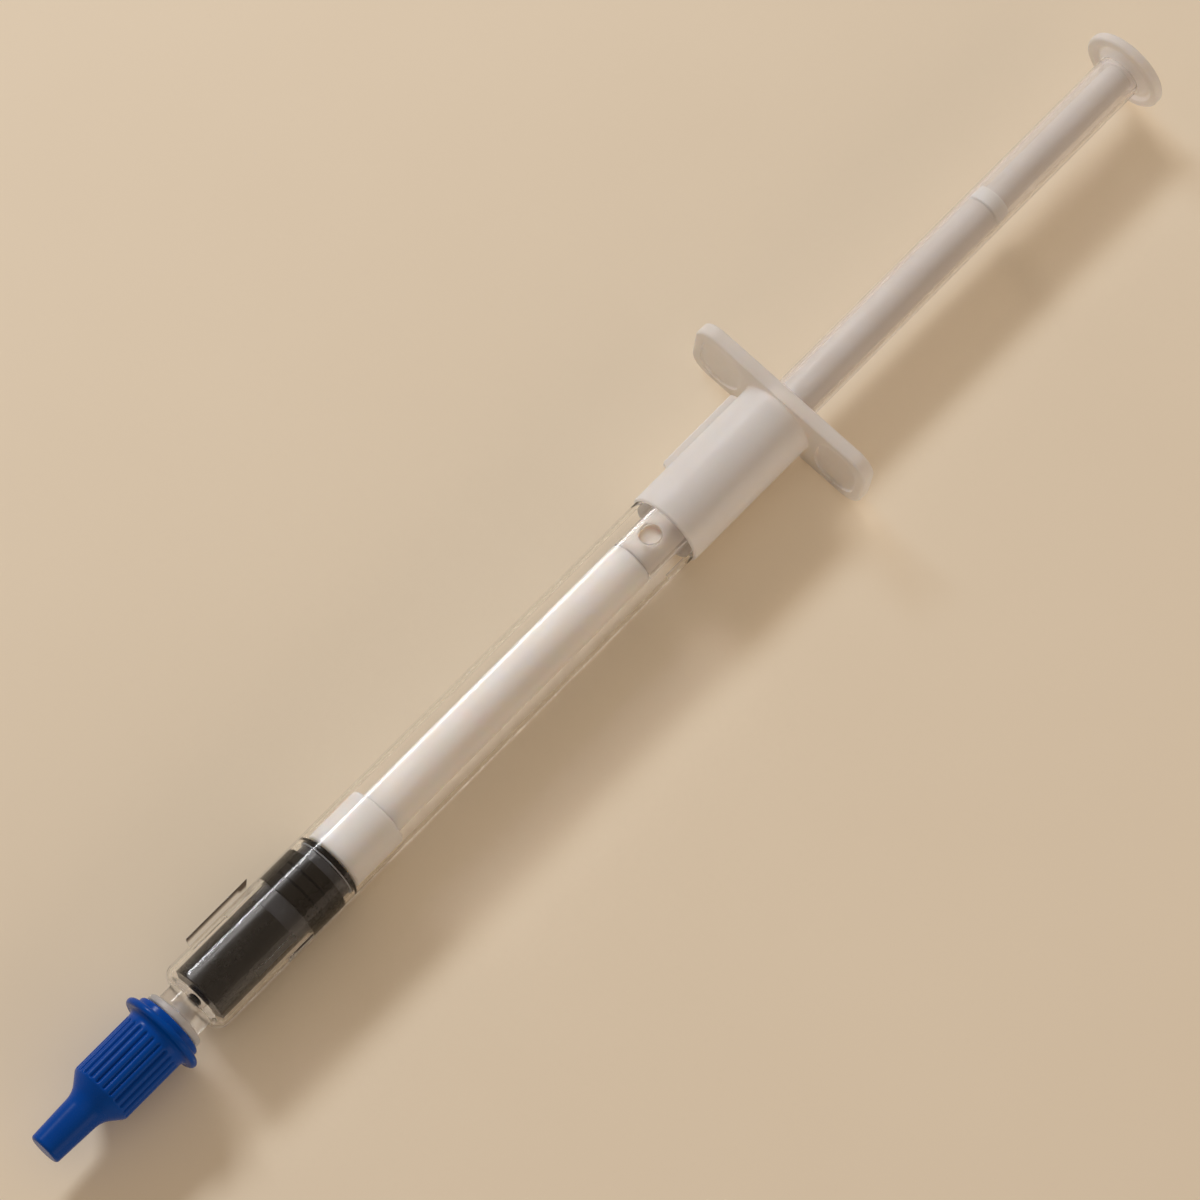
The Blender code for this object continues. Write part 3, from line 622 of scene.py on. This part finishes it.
def makeBarrel(size):
    tip, tipRadius, neckFront, rootRadius = size["nozzle"]
    shoulderFront, curve, outside = size["shoulder"], size["shoulderRound"], size["outside"]
    spigotFront, spigot = size["spigot"]
    rear, bore, outlet = size["rear"], size["bore"], size["outlet"]
    wall, chamfer = size["frontWall"], size["frontChamfer"]
    innerRound, tipInnerRound = size["outletRounds"]
    turns = [math.radians(turn) for turn in range(0, 91, 6)]
    shoulder = [(shoulderFront + curve * (1 - math.cos(turn)), outside + curve * (math.sin(turn) - 1))
                for turn in turns]
    line = softOutline([
        (tip, tipRadius, size["tipRound"]), (neckFront, rootRadius, size["rootFillet"]),
        (neckFront, size["neck"], size["neckRound"]), (shoulderFront, size["neck"], size["neckFillet"]),
        *shoulder, (spigotFront, outside, size["spigotRound"]), (spigotFront, spigot),
        (rear, spigot, size["rearRound"]), (rear, bore, size["rearRound"]),
        (wall + chamfer, bore, size["chamferRound"]), (wall, bore - chamfer, size["chamferRound"]),
        (wall, outlet, innerRound), (tip, outlet, tipInnerRound)], closed=True)
    barrel = turnedPiece("clear_barrel", line, closed=True, facets=size["facets"])
    ribs = [ribPiece("fin", size["fin"]["start"], outside, size["fin"], size["finAngle"])]
    for index, (angle, start, length) in enumerate(size["lowRibs"]):
        lowRib = {**size["lowRib"], "length": length}
        ribs.append(ribPiece("lowRib%d" % index, start, outside, lowRib, angle))
    ribs.append(ribPiece("rail", size["rail"]["start"], outside, size["rail"], size["railAngle"]))
    carve(barrel, "UNION", ribs)
    fit(barrel, "barrel", "barrel", clearPlastic)


makeBarrel(barrelSizes)

pasteSizes = {
    "nib": (23.16, 1.0), "nibRound": 0.3, "nibFillet": 0.05, "boss": (23.74, 1.5), "bossRound": 0.1,
    "column": (24.21, 35.8, 3.7), "columnRounds": (0.12, 0.03), "stiffEnds": 1.0}


def makePaste(size):
    nibTip, nib = size["nib"]
    bossFront, boss = size["boss"]
    front, rear, column = size["column"]
    frontRound, rearRound = size["columnRounds"]
    line = softOutline([
        (nibTip, 0.0), (nibTip, nib, size["nibRound"]), (bossFront, nib, size["nibFillet"]),
        (bossFront, boss, size["bossRound"]), (front, boss, size["bossRound"]),
        (front, column, frontRound), (rear, column, rearRound), (rear, 0.0)])
    paste = turnedPiece("paste_column", line)
    fit(paste, None, "thermal_paste", charcoalPaste)
    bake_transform(paste)


makePaste(pasteSizes)

stopperSizes = {
    "front": 35.81, "nose": 3.7, "noseRound": 0.03, "noseFillet": 0.08,
    "ribs": ((38.2, 39.85), (40.12, 41.45), (41.72, 43.2)), "rib": 4.006, "groove": 4.002,
    "ribRound": 0.003, "waist": 3.66, "waistRound": 0.15, "rear": 44.46, "socket": (40.91, 1.6),
    "facets": 160}


def makeStopper(size):
    front, rear, soft = size["front"], size["rear"], size["ribRound"]
    socketEnd, socket = size["socket"]
    corners = [(front, 0.0), (front, size["nose"], size["noseRound"]),
               (size["ribs"][0][0], size["nose"], size["noseFillet"])]
    for index, (start, end) in enumerate(size["ribs"]):
        last = index + 1 == len(size["ribs"])
        behind = size["waist" if last else "groove"]
        corners += [(start, size["rib"], soft), (end, size["rib"], soft), (end, behind, soft)]
        if not last:
            corners.append((size["ribs"][index + 1][0], size["groove"], soft))
    corners += [(rear, size["waist"], size["waistRound"]), (rear, socket)]
    corners += [(socketEnd, socket), (socketEnd, 0.0)]
    stopper = turnedPiece("rubber_stopper", softOutline(corners), facets=size["facets"])
    fit(stopper, "stopper", "stopper", blackRubber)


makeStopper(stopperSizes)

wiperSizes = {"span": (44.61, 45.31), "hole": 1.6, "edge": 4.006, "edgeRound": 0.24, "facets": 160}


def makeWiper(size):
    front, rear = size["span"]
    hole, edge, soft = size["hole"], size["edge"], size["edgeRound"]
    line = softOutline([
        (front, hole), (front, edge, soft), (rear, edge, soft), (rear, hole)], closed=True)
    wiper = turnedPiece("wiper_disc", line, closed=True, facets=size["facets"])
    fit(wiper, "stopper", "wiper_ring", wiperRubber)


makeWiper(wiperSizes)

headSizes = {
    "studEnd": 41.06, "stud": 1.5, "studRound": 0.2, "backing": (44.48, 44.59, 3.9), "backingRound": 0.04,
    "span": (45.46, 53.06), "head": 3.9, "headRounds": (0.35, 0.45), "socket": (48.51, 1.6),
    "socketRound": 0.1}


def makeHead(size):
    front, rear = size["span"]
    frontRound, rearRound = size["headRounds"]
    stud, head = size["stud"], size["head"]
    socketEnd, socket = size["socket"]
    backFront, backRear, back = size["backing"]
    line = softOutline([
        (size["studEnd"], 0.0), (size["studEnd"], stud, size["studRound"]), (backFront, stud),
        (backFront, back, size["backingRound"]), (backRear, back, size["backingRound"]), (backRear, stud),
        (front, stud), (front, head, frontRound), (rear, head, rearRound),
        (rear, socket, size["socketRound"]), (socketEnd, socket), (socketEnd, 0.0)])
    fit(turnedPiece("white_piston_head", line), "plunger", "piston_head", whitePlastic)


makeHead(headSizes)

rodSizes = {
    "frontTenon": (48.66, 1.5), "tenonRounds": (0.15, 0.04), "span": (53.21, 94.92), "rod": 2.85,
    "rodRounds": (0.2, 0.7), "rearTenon": (95.2, 2.3)}


def makeFrontRod(size):
    tenonFront, tenon = size["frontTenon"]
    tenonRear, shank = size["rearTenon"]
    tenonRound, shankRound = size["tenonRounds"]
    front, rear = size["span"]
    frontRound, rearRound = size["rodRounds"]
    rod = size["rod"]
    line = softOutline([
        (tenonFront, 0.0), (tenonFront, tenon, tenonRound), (front, tenon), (front, rod, frontRound),
        (rear, rod, rearRound), (rear, shank), (tenonRear, shank, shankRound), (tenonRear, 0.0)], steps=9)
    fit(turnedPiece("white_front_rod", line), "plunger", "front_rod", whitePlastic)


makeFrontRod(rodSizes)

tubeSizes = {
    "span": (94.96, 180.66), "outside": 2.85, "bore": 2.35, "frontRound": 0.12, "endRound": 0.06,
    "hole": 1.38, "holeLip": 0.22, "lipRise": 0.1, "holeStation": 98.26, "holeTilt": 10.0, "holeFacets": 48}


def crossHole(size, floor):
    # (height, lips of widening) rings; the cutter flares where it leaves the tube's wall
    body = bmesh.new()
    wall, facets = size["outside"], size["holeFacets"]
    flare = [(wall - size["holeLip"], 0.0), (wall + size["lipRise"], 1.0), (2 * wall, 2.0)]
    if floor < -wall:
        flare = [(-height, lip) for height, lip in reversed(flare)] + flare
    else:
        flare.insert(0, (floor, 0.0))
    turns = [math.tau * step / facets for step in range(facets)]
    rings = []
    for height, lip in flare:
        radius = size["hole"] + size["holeLip"] * lip
        spots = [(radius * math.cos(turn), radius * math.sin(turn), height) for turn in turns]
        rings.append([body.verts.new(spot) for spot in spots])
    for near, far in zip(rings, rings[1:]):
        for step in range(facets):
            after = (step + 1) % facets
            body.faces.new((near[step], near[after], far[after], far[step]))
    body.faces.new(rings[0])
    body.faces.new(rings[-1])
    placeOnAxis(body, size["holeTilt"], size["holeStation"])
    return addPiece("holeCutter", body)


def makeTube(size):
    front, rear = size["span"]
    outside, bore = size["outside"], size["bore"]
    line = softOutline([
        (front, outside, size["frontRound"]), (rear, outside, size["endRound"]),
        (rear, bore), (front, bore, size["endRound"])], closed=True)
    tube = turnedPiece("frosted_tube", line, closed=True)
    carve(tube, "DIFFERENCE", [crossHole(size, -2 * outside)])
    fit(tube, "plunger", "plunger_tube", frostedPlastic)


makeTube(tubeSizes)

coreSizes = {
    "span": (95.24, 180.51), "frontRound": 0.04, "plug": (101.6, 2.3), "plugRound": 0.2, "plugSlope": 0.3,
    "holeFloor": 1.4, "body": 2.18, "step": 155.7, "stepRound": 0.15, "tail": 1.8, "tailRound": 0.1,
    "facets": 96}


def makeCore(size):
    front, rear = size["span"]
    plugRear, plug = size["plug"]
    body, step, tail = size["body"], size["step"], size["tail"]
    line = softOutline([
        (front, 0.0), (front, plug, size["frontRound"]), (plugRear, plug, size["plugRound"]),
        (plugRear + size["plugSlope"], body, size["plugRound"]), (step, body, size["stepRound"]),
        (step, tail, size["tailRound"]), (rear, tail, size["tailRound"]), (rear, 0.0)])
    core = turnedPiece("milky_core", line, facets=size["facets"])
    carve(core, "DIFFERENCE", [crossHole(tubeSizes, size["holeFloor"])])
    fit(core, "plunger", "core_rod", hazyPlastic)


makeCore(coreSizes)

ringSizes = {
    "span": (155.86, 157.76), "hole": 1.85, "holeRound": 0.08, "edge": 2.32, "edgeRound": 0.15,
    "facets": 96}


def makeCentringRing(size):
    front, rear = size["span"]
    hole, edge = (size["hole"], size["holeRound"]), (size["edge"], size["edgeRound"])
    line = softOutline([(front, *hole), (front, *edge), (rear, *edge), (rear, *hole)], closed=True)
    ring = turnedPiece("white_centring_ring", line, closed=True, facets=size["facets"])
    fit(ring, "plunger", "centring_ring", whitePlastic)


makeCentringRing(ringSizes)

thumbSizes = {
    "plugEnd": 180.2, "plug": 2.25, "plugRound": 0.12, "socket": 1.85, "socketRound": 0.1,
    "hub": (180.4, 2.855, 3.0), "hubRound": 0.05, "hubSpread": 0.7, "hubFillet": 0.6,
    "disc": (180.81, 182.11, 5.45), "discRounds": (0.36, 0.42), "dish": 0.4, "dishRound": 0.2, "rim": 1.0,
    "facets": 160}


def makeThumbRest(size):
    hubFront, hubBore, hub = size["hub"]
    front, rear, disc = size["disc"]
    frontRound, rearRound = size["discRounds"]
    plugEnd, plug, socket = size["plugEnd"], size["plug"], size["socket"]
    dish = front + size["dish"]
    rim = disc - size["rim"]
    line = softOutline([
        (front, 0.0), (front, socket), (plugEnd, socket, size["socketRound"]),
        (plugEnd, plug, size["plugRound"]), (front, plug), (front, hubBore), (hubFront, hubBore),
        (hubFront, hub, size["hubRound"]), (dish, hub + size["hubSpread"], size["hubFillet"]),
        (dish, rim - size["dish"], size["dishRound"]), (front, rim, size["dishRound"]),
        (front, disc, frontRound), (rear, disc, rearRound), (rear, 0.0)])
    thumbRest = turnedPiece("thumb_disc", line, facets=size["facets"])
    fit(thumbRest, "plunger", "thumb_rest", milkyPlastic)


makeThumbRest(thumbSizes)

gripSizes = {
    "collar": (100.46, 4.9), "mouth": 0.3, "flange": (119.76, 1.8, 26.5, 10.9), "corner": 2.8,
    "edge": 0.34, "rootFillet": 0.45, "rootSink": 0.02, "rootMargin": 0.05, "bore": 4.5,
    "guide": (118.96, 2.95),
    "pocket": {"inset": 1.2, "depth": 0.35, "soft": 0.2, "cornerShare": 0.45},
    "key": {"start": 106.0, "length": 12.3, "height": 0.8, "thickness": 1.1, "ramps": (0.4, 0.4),
            "root": 0.25, "soft": 0.2},
    "keyAngle": 90.0, "cutMargin": 1.0, "facets": 160}


def makeFingerGrip(size):
    front, collar = size["collar"]
    flangeFront, thickness, width, height = size["flange"]
    fillet, margin = size["rootFillet"], size["cutMargin"]
    root = flangeFront + size["rootSink"]
    inside = flangeFront + thickness / 2
    skirt = collar + fillet + size["rootMargin"]
    line = softOutline([
        (front, 0.0), (front, collar, size["mouth"]), (root, collar, fillet), (root, skirt),
        (inside, skirt), (inside, 0.0)])
    grip = turnedPiece("finger_flange", line, facets=size["facets"])
    outline = roundedBox(width, height, size["corner"])
    plate = platePiece("plate", flangeFront, thickness, outline, size["edge"])
    key = ribPiece("key", size["key"]["start"], collar, size["key"], size["keyAngle"])
    carve(grip, "UNION", [plate, key])
    pocket = size["pocket"]
    near = collar + pocket["inset"]
    far = width / 2 - pocket["inset"]
    up = height - 2 * pocket["inset"]
    cutters = []
    for side in (1, -1):
        corner = pocket["cornerShare"] * min(up, far - near)
        outline = roundedBox(far - near, up, corner, side * (near + far) / 2)
        cutters.append(platePiece(
            "pocket%d" % side, flangeFront - margin, margin + pocket["depth"], outline, pocket["soft"]))
    guideFront, guide = size["guide"]
    boreFront, boreRear = front - margin, flangeFront + thickness + margin
    bore = softOutline([
        (boreFront, 0.0), (boreFront, size["bore"]), (guideFront, size["bore"]), (guideFront, guide),
        (boreRear, guide), (boreRear, 0.0)])
    cutters.append(turnedPiece("bore", bore, facets=size["facets"]))
    carve(grip, "DIFFERENCE", cutters)
    fit(grip, "barrel", "finger_grip", milkyPlastic)


makeFingerGrip(gripSizes)

floorSizes = {
    "half": 3.0, "pale": (0.94, 0.85, 0.69), "deep": (0.9, 0.805, 0.645), "clouds": 22.0,
    "roughness": 0.8}


def makeFloor(size):
    body = bmesh.new()
    half = size["half"]
    corners = ((-half, -half), (half, -half), (half, half), (-half, half))
    body.faces.new([body.verts.new((x, y, 0.0)) for x, y in corners])
    floor = addPiece("floor", body)
    finish, tree, shader = newFinish("palePlaster")
    clouds = noiseSpots(tree, objectPlace(tree), size["clouds"], detail=5.0, rough=0.55)
    colour = mixColour(tree, clouds, (*size["pale"], 1.0), (*size["deep"], 1.0))
    tree.links.new(colour, shader.inputs["Base Color"])
    shader.inputs["Roughness"].default_value = size["roughness"]
    floor.data.materials.append(finish)


makeFloor(floorSizes)

cameraSizes = {
    "target": (-0.00192, -0.00045, 0.00545), "tilt": 15.65, "roll": 10.6, "distance": 0.5936,
    "lens": 155.8, "sensor": 36.0, "nearest": 0.01}


def makeCamera(size):
    # looks down from a little towards the cap and the -Y side, with the axis on the picture's diagonal
    tilt = math.radians(size["tilt"])
    roll = math.radians(size["roll"])
    back = Vector((-math.sin(tilt), -math.cos(tilt) * math.sin(roll), math.cos(tilt) * math.cos(roll)))
    along = (Vector((1.0, 0.0, 0.0)) + math.sin(tilt) * back).normalized()
    across = back.cross(along)
    right = (along - across).normalized()
    up = (along + across).normalized()
    turn = Matrix((right, up, back)).transposed().to_4x4()
    data = bpy.data.cameras.new("camera")
    data.lens = size["lens"]
    data.sensor_width = size["sensor"]
    data.clip_start = size["nearest"]
    camera = bpy.data.objects.new("camera", data)
    camera.matrix_world = Matrix.Translation(Vector(size["target"]) + back * size["distance"]) @ turn
    scene.collection.objects.link(camera)
    scene.camera = camera


makeCamera(cameraSizes)

lampSizes = {
    "key": {"from": (0.24, 0.95, 0.64), "distance": 0.95, "size": (0.34, 0.12), "watts": 4.75,
            "colour": (0.98, 0.98, 1.0)},
    "fill": {"from": (-0.4, 0.1, 1.0), "distance": 1.2, "size": (0.9, 0.9), "watts": 0.6,
             "colour": (1.0, 0.98, 0.96)},
    "bounce": {"from": (-0.05, -1.0, 0.28), "distance": 0.9, "size": (0.9, 0.45), "watts": 1.75,
               "colour": (1.0, 0.8, 0.64)}}


def makeLamp(name, size):
    data = bpy.data.lights.new(name, "AREA")
    data.energy = size["watts"]
    data.shape = "RECTANGLE"
    data.size, data.size_y = size["size"]
    data.color = size["colour"]
    lamp = bpy.data.objects.new(name, data)
    aim = Vector(size["from"]).normalized()
    lamp.location = aim * size["distance"]
    lamp.rotation_euler = aim.to_track_quat("Z", "Y").to_euler()
    lamp.visible_transmission = False
    scene.collection.objects.link(lamp)


for lampName, lampSize in lampSizes.items():
    makeLamp(lampName, lampSize)

roomSizes = {"colour": (1.0, 0.78, 0.58), "strength": 0.34}


def makeRoom(size):
    world = bpy.data.worlds.new("softRoom")
    world.use_nodes = True
    room = world.node_tree.nodes["Background"]
    room.inputs["Color"].default_value = (*size["colour"], 1.0)
    room.inputs["Strength"].default_value = size["strength"]
    scene.world = world


makeRoom(roomSizes)
scene.view_settings.view_transform = "Standard"
print("stage, camera and lamps ready")
